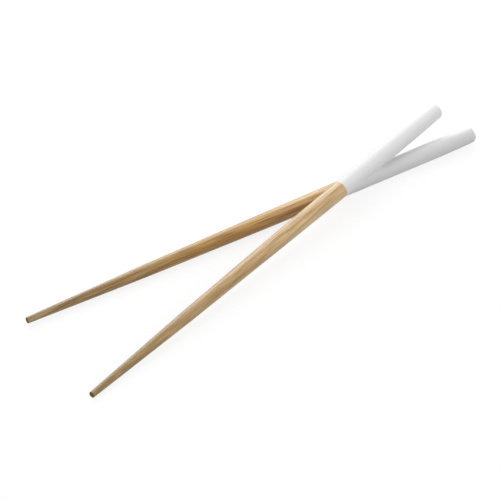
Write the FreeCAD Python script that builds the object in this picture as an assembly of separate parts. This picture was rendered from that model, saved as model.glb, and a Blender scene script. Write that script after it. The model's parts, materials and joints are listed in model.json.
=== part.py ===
import FreeCAD, Part
import math
import os

from FreeCAD import Placement, Rotation, Vector

os.makedirs("parts", exist_ok=True)

# A pair of round bamboo chopsticks with white dipped handles, lying crossed on a table.
# Sizes are in millimetres and angles in degrees. X runs along the middle line between
# the two sticks, from their tips to their handles. Z is up, and the table is at Z = 0.
# The origin is on the table, under the middle of the pair.

# The turned bamboo stick. It is round all along, and tapers in straight stretches between
# these places, which are counted from its tip or from its handle end.
stick_length = 230.0
tip_diameter = 2.8
tip_edge_radius = 0.35
neck_from_tip = 58.0
neck_diameter = 5.5
middle_from_tip = 116.0
middle_diameter = 6.9
grip_from_tip = 158.0
grip_diameter = 7.6
widest_from_end = 18.0
widest_diameter = 7.8

# The handle end eases in behind its widest place and has a rounded edge round a flat face.
end_diameter = 7.2
end_edge_radius = 1.2

# The white coat that the handle is dipped in. It thins out to nothing at its rim.
coat_length = 68.5
coat_thickness = 0.1
coat_rim_length = 0.4

# How the sticks lie: the handle of the top one crosses over the handle of the bottom one,
# and its tip comes down to the table.
crossing_angle = 16.8
bottom_crossing_from_end = 52.5
top_crossing_from_end = 43.5
contact_gap = 0.02

# The steepest that the top stick is tried at, before it is let down on the bottom one.
steepest_lean = 8.0
lowering_steps = 8


def stations(offset):
    """Places along the surface of the stick, or of a coat that is this thick, tip first."""
    places = [
        (tip_edge_radius, tip_diameter),
        (neck_from_tip, neck_diameter),
        (middle_from_tip, middle_diameter),
        (grip_from_tip, grip_diameter),
        (stick_length - widest_from_end, widest_diameter),
        (stick_length - end_edge_radius, end_diameter),
    ]
    return [Vector(along, diameter / 2 + offset, 0) for along, diameter in places]


def surface_point(along, offset):
    """The point of the surface at this distance from the tip, on a straight taper."""
    places = stations(offset)
    for near, far in zip(places, places[1:]):
        if near.x <= along <= far.x:
            share = (along - near.x) / (far.x - near.x)
            return near + (far - near) * share
    raise ValueError("the place is beyond the tapers of the stick")


def handle_outline(start, offset):
    """Edges of half a section, from a place on the surface to the middle of the handle's end."""
    points = [surface_point(start, offset)] + [p for p in stations(offset) if p.x > start]
    edges = [Part.LineSegment(a, b).toShape() for a, b in zip(points, points[1:])]

    # The rounded edge is a quarter circle, and a coat's is parallel to the bamboo's.
    centre = Vector(stick_length - end_edge_radius, end_diameter / 2 - end_edge_radius, 0)
    radius = end_edge_radius + offset
    slant = radius * math.sqrt(0.5)
    halfway = centre + Vector(slant, slant, 0)
    face_rim = centre + Vector(radius, 0, 0)
    face_middle = Vector(face_rim.x, 0, 0)
    edges.append(Part.Arc(points[-1], halfway, face_rim).toShape())
    edges.append(Part.LineSegment(face_rim, face_middle).toShape())
    return edges


def turned(edges):
    """A solid turned about X from the edges of half its section."""
    outline = Part.Wire(Part.__sortEdges__(edges))
    return Part.Face(outline).revolve(Vector(0, 0, 0), Vector(1, 0, 0), 360)


def bamboo_stick():
    """The stick along X, with its tip at the origin."""
    tip_middle = Vector(0, 0, 0)
    end_middle = Vector(stick_length, 0, 0)
    face_rim = Vector(0, tip_diameter / 2 - tip_edge_radius, 0)
    edge_centre = face_rim + Vector(tip_edge_radius, 0, 0)
    slant = tip_edge_radius * math.sqrt(0.5)
    halfway = edge_centre + Vector(-slant, slant, 0)
    edges = [
        Part.LineSegment(tip_middle, face_rim).toShape(),
        Part.Arc(face_rim, halfway, surface_point(tip_edge_radius, 0)).toShape(),
    ]
    edges += handle_outline(tip_edge_radius, 0)
    edges.append(Part.LineSegment(end_middle, tip_middle).toShape())
    return turned(edges)


def rim_arc(foot, top):
    """The coat's rim in section: an arc that leaves the bamboo and runs level into the coat."""
    rise = top.y - foot.y
    run = top.x - foot.x
    radius = (run ** 2 + rise ** 2) / (2 * rise)
    centre = Vector(top.x, top.y - radius, 0)
    half_turn = math.asin(run / radius) / 2
    halfway = centre + Vector(-math.sin(half_turn), math.cos(half_turn), 0) * radius
    return Part.Arc(foot, halfway, top).toShape()


def white_coat():
    """The thin shell of the dipped handle, face to face with the bamboo inside it."""
    foot_place = stick_length - coat_length
    foot = surface_point(foot_place, 0)
    top = surface_point(foot_place + coat_rim_length, coat_thickness)
    bamboo_end = Vector(stick_length, 0, 0)
    coat_end = Vector(stick_length + coat_thickness, 0, 0)
    edges = [rim_arc(foot, top)]
    edges += handle_outline(top.x, coat_thickness)
    edges += handle_outline(foot_place, 0)
    edges.append(Part.LineSegment(bamboo_end, coat_end).toShape())
    return turned(edges)


def resting_points(balance):
    """The two places that a stick lies on: the pair about its balance that sticks out most."""
    coat_start = stick_length - coat_length + coat_rim_length
    bare = [p for p in stations(0) if p.x < coat_start]
    coated = [surface_point(coat_start, coat_thickness)]
    coated += [p for p in stations(coat_thickness) if p.x > coat_start]
    underside = bare + coated

    def height_at_balance(pair):
        near, far = pair
        return near.y + (far.y - near.y) * (balance - near.x) / (far.x - near.x)

    pairs = [(a, b) for a in underside for b in underside if a.x < balance < b.x]
    return max(pairs, key=height_at_balance)


def laid_down(pieces, crossing_from_end, tip_height, lean, heading):
    """Copies of the pieces, leaning up towards the handle, with the crossing at X = Y = 0."""
    leaned = Rotation(Vector(0, 1, 0), -lean)
    headed = Rotation(Vector(0, 0, 1), heading)
    reach = (stick_length - crossing_from_end) * math.cos(math.radians(lean))
    tip = headed.multVec(Vector(-reach, 0, tip_height))
    place = Placement(tip, headed.multiply(leaned))
    copies = [piece.copy() for piece in pieces]
    for copy in copies:
        copy.Placement = place
    return copies


def bottom_pieces(pieces):
    """The bottom stick lies along the table on two places of its underside."""
    near, far = resting_points(pieces[0].CenterOfMass.x)
    lean = math.degrees(math.atan((far.y - near.y) / (far.x - near.x)))
    tip_height = near.y * math.cos(math.radians(lean)) - near.x * math.sin(math.radians(lean))
    return laid_down(pieces, bottom_crossing_from_end, tip_height, lean, -crossing_angle / 2)


def top_pieces(pieces, bottom):
    """The top stick stands on its tip's edge and is let down until it meets the bottom one."""
    lean = steepest_lean
    for _ in range(lowering_steps):
        slope = math.radians(lean)
        edge_axis = tip_diameter / 2 - tip_edge_radius
        tip_height = edge_axis * math.cos(slope) + tip_edge_radius * (1 - math.sin(slope))
        top = laid_down(pieces, top_crossing_from_end, tip_height, lean, crossing_angle / 2)
        gap = Part.Compound(top).distToShape(Part.Compound(bottom))[0]
        lean -= math.degrees(math.atan((gap - contact_gap) / (stick_length - top_crossing_from_end)))
    print("the top stick leans", round(lean, 3), "degrees, with a gap of", round(gap, 4))
    return top


pieces = [bamboo_stick(), white_coat()]
bottom = bottom_pieces(pieces)
top = top_pieces(pieces, bottom)

# The origin moves from under the crossing to under the middle of the pair.
extent = Part.Compound(bottom + top).optimalBoundingBox(False, False)
middle = Vector(-(extent.XMin + extent.XMax) / 2, -(extent.YMin + extent.YMax) / 2, 0)

nodes = {
    "bottom_bamboo_stick": bottom[0],
    "bottom_white_coat": bottom[1],
    "top_bamboo_stick": top[0],
    "top_white_coat": top[1],
}
for name, shape in nodes.items():
    shape.translate(middle)
    shape.exportStep("parts/" + name + ".step")
    print(name, "valid", shape.isValid(), "volume", round(shape.Volume, 3))
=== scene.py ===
import json
import math

import bpy
from mathutils import Euler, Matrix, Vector


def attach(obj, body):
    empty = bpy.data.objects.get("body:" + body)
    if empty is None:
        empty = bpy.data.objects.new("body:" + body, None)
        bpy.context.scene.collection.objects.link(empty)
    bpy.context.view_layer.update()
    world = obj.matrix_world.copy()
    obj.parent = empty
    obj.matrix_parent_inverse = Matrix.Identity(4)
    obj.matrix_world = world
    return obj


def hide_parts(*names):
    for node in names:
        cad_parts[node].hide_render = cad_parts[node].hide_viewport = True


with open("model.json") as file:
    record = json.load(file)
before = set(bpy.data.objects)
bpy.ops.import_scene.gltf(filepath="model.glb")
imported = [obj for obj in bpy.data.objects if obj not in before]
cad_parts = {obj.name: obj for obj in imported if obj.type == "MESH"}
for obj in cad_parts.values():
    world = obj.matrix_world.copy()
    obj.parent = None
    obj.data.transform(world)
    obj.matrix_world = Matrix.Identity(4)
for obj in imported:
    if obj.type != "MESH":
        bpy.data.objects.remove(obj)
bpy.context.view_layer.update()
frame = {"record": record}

# The bamboo sticks. Each is turned from one splint of bamboo and sanded round, slim at the
# tip and full at the grip. Its fibres run from end to end, and stand a hair proud of the
# softer wood between them, which the sanding wears a little deeper.
mm = 0.001
stick_length = 230 * mm
tip_diameter = 2.8 * mm
tip_edge_radius = 0.35 * mm
end_diameter = 7.2 * mm
end_edge_radius = 1.2 * mm

# The diameter at each distance from the tip, with a straight taper from one to the next.
tapers = [
    (tip_edge_radius, tip_diameter),
    (58 * mm, 5.5 * mm),
    (116 * mm, 6.9 * mm),
    (158 * mm, 7.6 * mm),
    (212 * mm, 7.8 * mm),
    (stick_length - end_edge_radius, end_diameter),
]
ring_spacing = 4 * mm
sides_of_cage = 96


def radius_at(place):
    """Radius of the bamboo at this distance from the tip."""
    for (near, near_width), (far, far_width) in zip(tapers, tapers[1:]):
        if near <= place <= far:
            return (near_width + (far_width - near_width) * (place - near) / (far - near)) / 2


def tapered_rings(start, offset):
    """Rings as (place, radius) along the straight tapers, from this place to the handle's edge."""
    rings = []
    for (near, _), (far, _) in zip(tapers, tapers[1:]):
        steps = math.ceil((far - near) / ring_spacing)
        for step in range(steps):
            place = near + (far - near) * step / steps
            if place > start + ring_spacing / 4:
                rings.append((place, radius_at(place) + offset))
    last_place, last_width = tapers[-1]
    rings.append((last_place, last_width / 2 + offset))
    return rings


def handle_end_rings(offset):
    """Rings round the quarter circle of the handle's edge, and in over its flat face."""
    centre = stick_length - end_edge_radius
    inner = end_diameter / 2 - end_edge_radius
    radius = end_edge_radius + offset
    turns = [math.radians(angle) for angle in (18, 36, 54, 72, 90)]
    edge = [(centre + radius * math.sin(a), inner + radius * math.cos(a)) for a in turns]
    return edge + [(centre + radius, inner * share) for share in (0.75, 0.45)]


def turned(name, rings):
    """A round piece about X: a filled circle that is extruded and resized from ring to ring."""
    bpy.ops.object.select_all(action="DESELECT")
    place, radius = rings[0]
    bpy.ops.mesh.primitive_circle_add(
        vertices=sides_of_cage,
        radius=radius,
        fill_type="TRIFAN",
        location=(place, 0, 0),
        rotation=(0, math.radians(90), 0),
    )
    piece = bpy.context.object
    piece.name = name
    bpy.ops.object.transform_apply(location=True, rotation=True, scale=True)
    bpy.ops.object.mode_set(mode="EDIT")
    bpy.ops.mesh.select_all(action="SELECT")
    for next_place, next_radius in rings[1:]:
        step = (next_place - place, 0, 0)
        grow = next_radius / radius
        bpy.ops.mesh.extrude_region_move(TRANSFORM_OT_translate={"value": step})
        bpy.ops.transform.resize(value=(1, grow, grow), center_override=(next_place, 0, 0))
        place, radius = next_place, next_radius
    bpy.ops.mesh.select_all(action="SELECT")
    bpy.ops.mesh.normals_make_consistent(inside=False)
    bpy.ops.object.mode_set(mode="OBJECT")
    return piece


# The tip is flat with a rounded edge.
tip_inner = tip_diameter / 2 - tip_edge_radius
tip_rings = [(0, tip_inner * share) for share in (0.35, 0.7)]
for angle in (0, 22.5, 45, 67.5, 90):
    turn = math.radians(angle)
    tip_place = tip_edge_radius * (1 - math.cos(turn))
    tip_rings.append((tip_place, tip_inner + tip_edge_radius * math.sin(turn)))
plain_stick = turned(
    "plain_stick", tip_rings + tapered_rings(tip_edge_radius, 0) + handle_end_rings(0)
)


def add_modifier(piece, kind, **settings):
    """Adds a modifier with its settings and applies it, with only this piece selected."""
    bpy.ops.object.select_all(action="DESELECT")
    piece.select_set(True)
    bpy.context.view_layer.objects.active = piece
    modifier = piece.modifiers.new(kind.lower(), kind)
    for setting, value in settings.items():
        setattr(modifier, setting, value)
    bpy.ops.object.modifier_apply(modifier=modifier.name)


add_modifier(plain_stick, "SUBSURF", levels=1, render_levels=1)

# The relief that sanding leaves: ridges about 0.6 mm wide and 20 mm long. The pattern counts
# in millimetres across the stick.
relief_width = 0.6
relief_length = 20 * mm
relief_depth = 0.03 * mm
fibre_relief = bpy.data.textures.new("fibre relief", "CLOUDS")
fibre_relief.noise_scale = relief_width
fibre_relief.noise_depth = 2
fibre_relief.noise_basis = "IMPROVED_PERLIN"


def copy_of(plain, name):
    """A copy of a plain piece with a mesh of its own."""
    bpy.ops.object.select_all(action="DESELECT")
    plain.select_set(True)
    bpy.context.view_layer.objects.active = plain
    bpy.ops.object.duplicate(linked=False)
    copy = bpy.context.object
    copy.name = name
    copy.data.name = name
    return copy


def wear(piece, shift, depth, **settings):
    """Works the fibre relief into a piece that lies along X. The shift moves the pattern."""
    bpy.ops.object.empty_add(location=(shift, shift, 0))
    grain = bpy.context.object
    grain.scale = (relief_length / relief_width, mm, mm)
    bpy.context.view_layer.update()
    add_modifier(
        piece,
        "DISPLACE",
        texture=fibre_relief,
        texture_coords="OBJECT",
        texture_coords_object=grain,
        strength=depth,
        **settings,
    )
    bpy.data.objects.remove(grain)


# A mount is on the white coat's end face, one coat's thickness beyond the bamboo.
coat_thickness = 0.1 * mm


def pose_of(mount_name):
    """Where a stick's tip is and how the stick is turned, from the mount on its handle's end."""
    mount = next(m for m in frame["record"]["mounts"] if m["name"] == mount_name)
    axis = Vector(mount["axis"]).normalized()
    tip = Vector(mount["pos_m"]) - axis * (stick_length + coat_thickness)
    turn = Euler((0, -math.asin(axis.z), math.atan2(axis.y, axis.x)))
    return tip, turn


def lay_down(piece, tip, turn):
    """Moves a piece from along X to where its stick lies, and puts that into its mesh."""
    bpy.ops.object.select_all(action="DESELECT")
    piece.select_set(True)
    bpy.context.view_layer.objects.active = piece
    piece.location = tip
    piece.rotation_euler = turn
    bpy.ops.object.transform_apply(location=True, rotation=True, scale=True)
    bpy.ops.object.shade_smooth()


def srgb(code):
    """A hex colour as it looks on a screen, turned to the linear values that a shader takes."""
    parts = [int(code[i : i + 2], 16) / 255 for i in (1, 3, 5)]
    return [p / 12.92 if p <= 0.04045 else ((p + 0.055) / 1.055) ** 2.4 for p in parts] + [1]


def add_node(material, kind, settings, inputs):
    """Adds a node, sets it up, and gives each input its value or the output it is linked to."""
    node = material.node_tree.nodes.new(kind)
    for name, value in settings.items():
        setattr(node, name, value)
    for name, value in inputs.items():
        if isinstance(value, bpy.types.NodeSocket):
            material.node_tree.links.new(value, node.inputs[name])
        else:
            node.inputs[name].default_value = value
    return node


# A Mix node's sockets for colours share their names with others, so they go by number.
first_colour, second_colour, mixed_colour = 6, 7, 2


def sanded_bamboo(name, pose, pattern_shift, tones, contrast, end_tint):
    """Sanded bamboo, thinly oiled. It gives the eye straight fibres in two tones of straw,
    darker fibre bundles that taper out, and a satin sheen broken up by the fibres."""
    material = bpy.data.materials.new(name)
    material.use_nodes = True
    shader = material.node_tree.nodes["Principled BSDF"]
    object_place = add_node(material, "ShaderNodeTexCoord", {}, {}).outputs["Object"]

    # From here on a place is in millimetres, with X along the stick from its tip.
    tip, turn = pose
    place = add_node(
        material,
        "ShaderNodeMapping",
        {"vector_type": "TEXTURE"},
        {"Vector": object_place, "Location": tip, "Rotation": turn, "Scale": (mm, mm, mm)},
    ).outputs["Vector"]
    along = add_node(material, "ShaderNodeSeparateXYZ", {}, {"Vector": place}).outputs["X"]

    # The fibres wander by a few tenths of a millimetre in 60 mm.
    wander_length = 60
    wander_reach = 1.6
    drift = add_node(
        material,
        "ShaderNodeTexNoise",
        {},
        {"Vector": place, "Scale": 1 / wander_length, "Detail": 1.0},
    ).outputs["Color"]
    drift = add_node(
        material,
        "ShaderNodeVectorMath",
        {"operation": "MULTIPLY_ADD"},
        {0: drift, 1: (0, wander_reach, wander_reach), 2: (pattern_shift, 0, 0)},
    ).outputs["Vector"]
    fibre_place = add_node(
        material, "ShaderNodeVectorMath", {"operation": "ADD"}, {0: place, 1: drift}
    ).outputs["Vector"]

    def streaks(length, width, detail):
        """Long soft streaks of this size in millimetres, as a share that is 0.5 on average."""
        stretched = add_node(
            material,
            "ShaderNodeMapping",
            {},
            {"Vector": fibre_place, "Scale": (1 / length, 1 / width, 1 / width)},
        ).outputs["Vector"]
        return add_node(
            material,
            "ShaderNodeTexNoise",
            {},
            {"Vector": stretched, "Scale": 1.0, "Detail": detail},
        ).outputs["Fac"]

    # The tone of the wood changes from the tip to the handle, and it is uneven by a tenth of
    # that in patches of 6 by 70 mm.
    unevenness = 0.1
    share = add_node(
        material,
        "ShaderNodeMath",
        {"operation": "MULTIPLY_ADD"},
        {0: along, 1: mm / stick_length, 2: -unevenness / 2},
    ).outputs["Value"]
    share = add_node(
        material,
        "ShaderNodeMath",
        {"operation": "MULTIPLY_ADD"},
        {0: streaks(70, 6, 1.0), 1: unevenness, 2: share},
    ).outputs["Value"]
    tone = add_node(material, "ShaderNodeValToRGB", {}, {"Fac": share})
    ramp = tone.color_ramp
    while len(ramp.elements) < len(tones):
        ramp.elements.new(0.5)
    for element, (position, colour) in zip(ramp.elements, tones):
        element.position = position
        element.color = srgb(colour)

    # Broad streaks, 1.6 mm wide and 40 mm long, are browner than the straw between them.
    broad = add_node(
        material,
        "ShaderNodeMapRange",
        {"interpolation_type": "SMOOTHSTEP"},
        {"Value": streaks(40, 1.6, 1.0), "From Min": 0.35, "From Max": 0.7, "To Max": contrast},
    ).outputs["Result"]
    wood = add_node(
        material,
        "ShaderNodeMix",
        {"data_type": "RGBA", "blend_type": "MULTIPLY"},
        {"Factor": broad, first_colour: tone.outputs["Color"], second_colour: srgb("#E3D1B9")},
    ).outputs[mixed_colour]

    # Fibre bundles, about 0.7 mm apart in the cut and 20 mm long, are brown at their core, and
    # each a little differently.
    bundle_length = 20
    bundle_width = 0.7
    bundle_place = add_node(
        material,
        "ShaderNodeMapping",
        {},
        {
            "Vector": fibre_place,
            "Scale": (1 / bundle_length, 1 / bundle_width, 1 / bundle_width),
        },
    ).outputs["Vector"]
    bundle = add_node(
        material, "ShaderNodeTexVoronoi", {}, {"Vector": bundle_place, "Scale": 1.0}
    )
    core = add_node(
        material,
        "ShaderNodeMapRange",
        {"interpolation_type": "SMOOTHSTEP"},
        {
            "Value": bundle.outputs["Distance"],
            "From Min": 0.1,
            "From Max": 0.5,
            "To Min": contrast,
            "To Max": 0.0,
        },
    ).outputs["Result"]
    strength = add_node(
        material, "ShaderNodeSeparateColor", {}, {"Color": bundle.outputs["Color"]}
    ).outputs["Red"]
    core = add_node(
        material, "ShaderNodeMath", {"operation": "MULTIPLY"}, {0: core, 1: strength}
    ).outputs["Value"]
    wood = add_node(
        material,
        "ShaderNodeMix",
        {"data_type": "RGBA", "blend_type": "MULTIPLY"},
        {"Factor": core, first_colour: wood, second_colour: srgb("#BBA488")},
    ).outputs[mixed_colour]

    # Threads of fibre, 0.5 mm wide and 14 mm long, and single fibres of 0.2 by 9 mm, lighten
    # and darken the wood by about a tenth.
    thread = streaks(14, 0.5, 2.0)
    fibre = streaks(9, 0.2, 1.0)
    brightness = add_node(
        material, "ShaderNodeMath", {"operation": "MULTIPLY_ADD"}, {0: thread, 1: 1.1, 2: 0.15}
    ).outputs["Value"]
    brightness = add_node(
        material, "ShaderNodeMath", {"operation": "MULTIPLY_ADD"}, {0: fibre, 1: 0.6, 2: brightness}
    ).outputs["Value"]

    # Patches of 0.9 by 22 mm turn from a redder to a greener straw. A hue of 0.5 changes nothing.
    reddest, greenest = 0.492, 0.509
    hue = add_node(
        material,
        "ShaderNodeMapRange",
        {},
        {
            "Value": streaks(22, 0.9, 1.0),
            "From Min": 0.3,
            "From Max": 0.7,
            "To Min": reddest,
            "To Max": greenest,
        },
    ).outputs["Result"]
    wood = add_node(
        material, "ShaderNodeHueSaturation", {}, {"Color": wood, "Hue": hue, "Value": brightness}
    ).outputs["Color"]

    # The cut end of the tip is darker, because end grain drinks the oil.
    end_grain = add_node(
        material,
        "ShaderNodeMapRange",
        {"interpolation_type": "SMOOTHSTEP"},
        {"Value": along, "From Min": 0.1, "From Max": 0.55, "To Min": 1.0, "To Max": 0.0},
    ).outputs["Result"]
    wood = add_node(
        material,
        "ShaderNodeMix",
        {"data_type": "RGBA", "blend_type": "MULTIPLY"},
        {"Factor": end_grain, first_colour: wood, second_colour: srgb(end_tint)},
    ).outputs[mixed_colour]

    # The fibres are a little rougher than the wood between them, and end grain is duller still.
    roughness = add_node(
        material,
        "ShaderNodeMapRange",
        {},
        {"Value": fibre, "From Min": 0.3, "From Max": 0.7, "To Min": 0.26, "To Max": 0.36},
    ).outputs["Result"]
    roughness = add_node(
        material,
        "ShaderNodeMath",
        {"operation": "MULTIPLY_ADD"},
        {0: end_grain, 1: 0.4, 2: roughness},
    ).outputs["Value"]

    # Single fibres stand proud by up to a fiftieth of a millimetre.
    fibre_height = 0.02 * mm
    bump = add_node(
        material, "ShaderNodeBump", {}, {"Height": fibre, "Strength": 0.4, "Distance": fibre_height}
    ).outputs["Normal"]
    shader.inputs["IOR"].default_value = 1.5
    links = material.node_tree.links
    links.new(wood, shader.inputs["Base Color"])
    links.new(roughness, shader.inputs["Roughness"])
    links.new(bump, shader.inputs["Normal"])
    return material


# The bottom stick is a browner splint with bolder streaks than the top one, and both are paler
# towards the handle. Each takes the patterns from a place of its own.
bottom_shift = 40 * mm
top_shift = 310 * mm
bottom_pose = pose_of("bottom_handle_face")
top_pose = pose_of("top_handle_face")
bottom_bamboo = sanded_bamboo(
    "sanded bamboo, bottom stick",
    bottom_pose,
    pattern_shift=300,
    # The two palest tones, along the grip short of the crossing, are partly the wood's own paler
    # tone and partly painted light that lifts the top stick's shadow there.
    tones=[(0.1, "#A68D5E"), (0.34, "#BC9558"), (0.5, "#CEA564"), (0.62, "#E8C78F")],
    contrast=1.0,
    end_tint="#F2E2C2",
)
top_bamboo = sanded_bamboo(
    "sanded bamboo, top stick",
    top_pose,
    pattern_shift=900,
    tones=[(0.1, "#A38959"), (0.36, "#CBAA79"), (0.56, "#DBBB8B"), (0.75, "#E1C597")],
    contrast=0.6,
    end_tint="#C6BCA1",
)
for name, node, shift, pose, bamboo in (
    ("bottom_turned_stick", "bottom_bamboo_stick", bottom_shift, bottom_pose, bottom_bamboo),
    ("top_turned_stick", "top_bamboo_stick", top_shift, top_pose, top_bamboo),
):
    stick = copy_of(plain_stick, name)
    # A middle level of 1 lets the relief only go in.
    wear(stick, shift, relief_depth, mid_level=1.0)
    lay_down(stick, *pose)
    stick.data.materials.append(bamboo)
    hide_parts(node)
    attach(stick, "root")

bpy.data.objects.remove(plain_stick)

# The white coats. Each handle is dipped in lacquer, which draws out to a thin rim where the
# dip ends. The coat is a tenth of a millimetre thick, so the fibres still show in it faintly.
coat_length = 68.5 * mm
coat_start = stick_length - coat_length
coat_rim_length = 0.4 * mm

# The rim's section as (run, rise) in millimetres. It starts a hair inside the bamboo.
rim_section = [(0, -0.03), (0.03, 0.01), (0.1, 0.045), (0.2, 0.075), (0.4, 0.1)]
rim_rings = [
    (coat_start + run * mm, radius_at(coat_start + run * mm) + rise * mm)
    for run, rise in rim_section
]
plain_coat = turned(
    "plain_coat",
    rim_rings
    + tapered_rings(coat_start + coat_rim_length, coat_thickness)
    + handle_end_rings(coat_thickness),
)

# The skin is opened at its rim before it gets its thickness.
bpy.ops.object.mode_set(mode="EDIT")
bpy.ops.mesh.select_all(action="DESELECT")
bpy.ops.object.mode_set(mode="OBJECT")
for corner in plain_coat.data.vertices:
    on_rim_face = corner.co.x < coat_start + 0.01 * mm
    on_axis = corner.co.yz.length < 0.5 * mm
    corner.select = on_rim_face and on_axis
bpy.ops.object.mode_set(mode="EDIT")
bpy.ops.mesh.delete(type="VERT")
bpy.ops.object.mode_set(mode="OBJECT")
add_modifier(plain_coat, "SUBSURF", levels=1, render_levels=1)

# What moves the rim along the stick fades out over the next 3 mm of the coat.
rim_fade = 3 * mm
rim = plain_coat.vertex_groups.new(name="rim")
for corner in plain_coat.data.vertices:
    beyond_rim = (corner.co.x - coat_start - coat_rim_length) / rim_fade
    rim.add([corner.index], 1 - min(max(beyond_rim, 0), 1), "REPLACE")


def satin_lacquer(name, thin_white, full_white):
    """White lacquer, dipped and dried. It gives the eye a soft broad sheen over a level coat,
    with a faint unevenness like orange peel."""
    material = bpy.data.materials.new(name)
    material.use_nodes = True
    shader = material.node_tree.nodes["Principled BSDF"]
    place = add_node(material, "ShaderNodeTexCoord", {}, {}).outputs["Object"]

    # The coat is a touch thicker and whiter in places, over about 8 mm.
    flow = add_node(
        material, "ShaderNodeTexNoise", {}, {"Vector": place, "Scale": 1 / (8 * mm), "Detail": 2.0}
    ).outputs["Fac"]
    white = add_node(
        material,
        "ShaderNodeMix",
        {"data_type": "RGBA"},
        {"Factor": flow, first_colour: srgb(thin_white), second_colour: srgb(full_white)},
    ).outputs[mixed_colour]
    roughness = add_node(
        material,
        "ShaderNodeMapRange",
        {},
        {"Value": flow, "From Min": 0.3, "From Max": 0.7, "To Min": 0.42, "To Max": 0.5},
    ).outputs["Result"]

    # The orange peel has dimples about 0.8 mm apart and 4 thousandths of a millimetre deep.
    dimple_spacing = 0.8 * mm
    dimple_depth = 0.004 * mm
    peel = add_node(
        material,
        "ShaderNodeTexNoise",
        {},
        {"Vector": place, "Scale": 1 / dimple_spacing, "Detail": 1.0},
    ).outputs["Fac"]
    bump = add_node(
        material, "ShaderNodeBump", {}, {"Height": peel, "Strength": 0.5, "Distance": dimple_depth}
    ).outputs["Normal"]
    shader.inputs["IOR"].default_value = 1.5
    links = material.node_tree.links
    links.new(white, shader.inputs["Base Color"])
    links.new(roughness, shader.inputs["Roughness"])
    links.new(bump, shader.inputs["Normal"])
    return material


# Both handles are dipped in the same white lacquer. The bottom handle's white is set a shade darker
# than the top's: that is painted shade, for the top stick's shadow on it.
bottom_lacquer_painted_shade = satin_lacquer("satin white lacquer, bottom handle, painted shade", "#E6E6E6", "#EAEAEA")
top_lacquer = satin_lacquer("satin white lacquer, top handle", "#EFEFEF", "#F3F3F3")

# The lacquer runs up to 0.3 mm further along some fibres, and the bottom handle was dipped
# 0.6 mm deeper. The coat's wall goes a little into the bamboo, so that no gap shows.
rim_bleed = 0.3 * mm
bottom_deeper_dip = 0.6 * mm
coat_wall = coat_thickness + 0.04 * mm
coat_relief_depth = 0.005 * mm
for name, node, lacquer, shift, pose, deeper_dip in (
    (
        "bottom_dipped_coat",
        "bottom_white_coat",
        bottom_lacquer_painted_shade,
        bottom_shift,
        bottom_pose,
        bottom_deeper_dip,
    ),
    ("top_dipped_coat", "top_white_coat", top_lacquer, top_shift, top_pose, 0),
):
    coat = copy_of(plain_coat, name)
    middle = 0.5 + deeper_dip / rim_bleed
    wear(coat, shift, rim_bleed, mid_level=middle, direction="X", vertex_group="rim")
    wear(coat, shift, coat_relief_depth, mid_level=1.0)
    add_modifier(coat, "SOLIDIFY", thickness=coat_wall, offset=-1.0)
    lay_down(coat, *pose)
    coat.data.materials.append(lacquer)
    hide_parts(node)
    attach(coat, "root")

bpy.data.objects.remove(plain_coat)

# The table is a wide board, painted matt white. The camera, a gloss and glass see it as plain
# white paper with the soft shadow of the sticks, and for everything else it is a light grey
# that sends some of the light back.
board_width = 12
bpy.ops.object.select_all(action="DESELECT")
bpy.ops.mesh.primitive_plane_add(size=board_width, location=(0, 0, 0))
table = bpy.context.object
table.name = "white_board"
board = bpy.data.materials.new("matt white board")
board.use_nodes = True
board_tree = board.node_tree
board_tree.nodes.remove(board_tree.nodes["Principled BSDF"])


def seen_directly(material):
    """1 where the camera, a gloss or glass sees the board or room, and 0 for all other light."""
    ray = add_node(material, "ShaderNodeLightPath", {}, {}).outputs
    seen = ray["Is Camera Ray"]
    for kind in ("Is Glossy Ray", "Is Transmission Ray"):
        seen = add_node(
            material, "ShaderNodeMath", {"operation": "MAXIMUM"}, {0: seen, 1: ray[kind]}
        ).outputs["Value"]
    return seen


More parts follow.
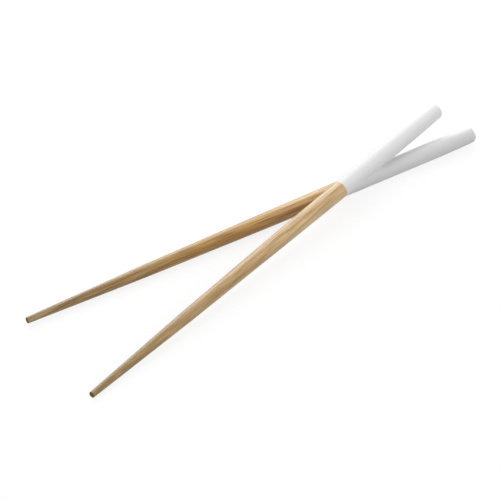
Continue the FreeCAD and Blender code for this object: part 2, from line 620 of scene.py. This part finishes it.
# The seen board is a dim surface that takes the shadow, with a glow that lifts it to white.
board_glow = 0.84
lighting_board = add_node(
    board, "ShaderNodeBsdfDiffuse", {}, {"Color": srgb("#ACACAB")}
).outputs["BSDF"]
shadowed_board = add_node(
    board, "ShaderNodeBsdfDiffuse", {}, {"Color": srgb("#7C7C7C")}
).outputs["BSDF"]
glow = add_node(
    board, "ShaderNodeEmission", {}, {"Color": (1, 1, 1, 1), "Strength": board_glow}
).outputs["Emission"]
seen_board = add_node(board, "ShaderNodeAddShader", {}, {0: shadowed_board, 1: glow}).outputs[0]
board_mix = add_node(
    board, "ShaderNodeMixShader", {}, {0: seen_directly(board), 1: lighting_board, 2: seen_board}
)
board_tree.links.new(
    board_mix.outputs[0], board_tree.nodes["Material Output"].inputs["Surface"]
)
table.data.materials.append(board)

# The studio is a white room, which is seen and mirrored but gives no other light. Soft panels
# light the sticks: a broad one leans over them from behind, one fills in from the front, one
# from beyond the handles, and one hangs above.
room = bpy.data.worlds.new("white room")
bpy.context.scene.world = room
room.use_nodes = True
walls = room.node_tree.nodes["Background"]
walls.inputs["Color"].default_value = (1, 1, 1, 1)
room.node_tree.links.new(seen_directly(room), walls.inputs["Strength"])
panel_distance = 1.3


def add_panel(name, azimuth, elevation, width, height, power):
    """A soft lamp that faces the sticks, from this compass angle and height in degrees."""
    around, up = math.radians(azimuth), math.radians(elevation)
    towards = Vector(
        (math.sin(around) * math.cos(up), -math.cos(around) * math.cos(up), math.sin(up))
    )
    bpy.ops.object.light_add(type="AREA", location=towards * panel_distance)
    panel = bpy.context.object
    panel.name = name
    panel.data.shape = "RECTANGLE"
    panel.data.size = width
    panel.data.size_y = height
    panel.data.energy = power
    panel.rotation_euler = (-towards).to_track_quat("-Z", "Y").to_euler()


add_panel("back_panel", azimuth=146, elevation=30, width=1.4, height=1.3, power=16.2)
add_panel("front_panel", azimuth=342, elevation=24, width=1.0, height=0.9, power=8.2)
add_panel("right_panel", azimuth=72, elevation=25, width=0.8, height=0.8, power=4.4)
add_panel("high_panel", azimuth=195, elevation=75, width=1.0, height=1.0, power=5.6)

# The camera looks down at the sticks from where the photograph was taken. Its place and its
# lens are those that bring both sticks' outlines to where the photograph has them.
camera_place = Vector((-0.71585, -0.80081, 0.88248))
camera_target = Vector((-0.00706, 0.00164, 0))
camera_lens = bpy.data.cameras.new("camera")
camera_lens.sensor_width = 36
camera_lens.lens = 231.955
camera = bpy.data.objects.new("camera", camera_lens)
bpy.context.scene.collection.objects.link(camera)
camera.location = camera_place
camera.rotation_euler = (camera_target - camera_place).to_track_quat("-Z", "Y").to_euler()
bpy.context.scene.camera = camera
bpy.context.scene.view_settings.view_transform = "Standard"
